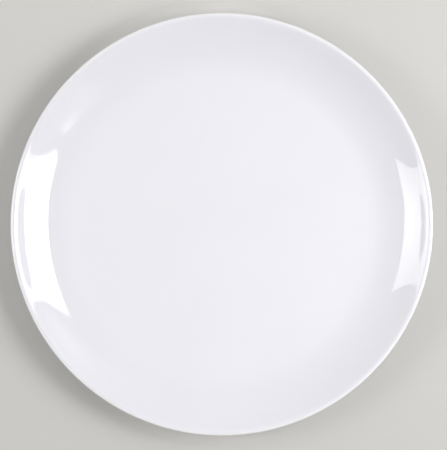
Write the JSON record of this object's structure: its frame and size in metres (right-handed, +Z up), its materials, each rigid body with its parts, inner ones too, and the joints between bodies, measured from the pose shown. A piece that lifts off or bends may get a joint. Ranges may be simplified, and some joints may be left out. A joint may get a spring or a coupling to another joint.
{
  "type": "coupe salad plate",
  "caption": "Round coupe plate with a flat well, a wall that curves up to a rounded lip, and a bare foot ring underneath, for serving salad or a small course.",
  "frame": {"origin": "centre of the plate's footprint, on the plane that the foot ring stands on", "axes": "+Z up along the plate's axis, out of the well; +X to the right of the picture and +Y to its top"},
  "size_m": [0.21, 0.21, 0.018],
  "materials": {
    "porcelain": "matte",
    "glaze": "gloss",
    "recess_glaze": "gloss"
  },
  "bodies": {
    "root": {"porcelain_body": "porcelain", "main_glaze": "glaze", "base_glaze": "recess_glaze"}
  },
  "joints": []
}
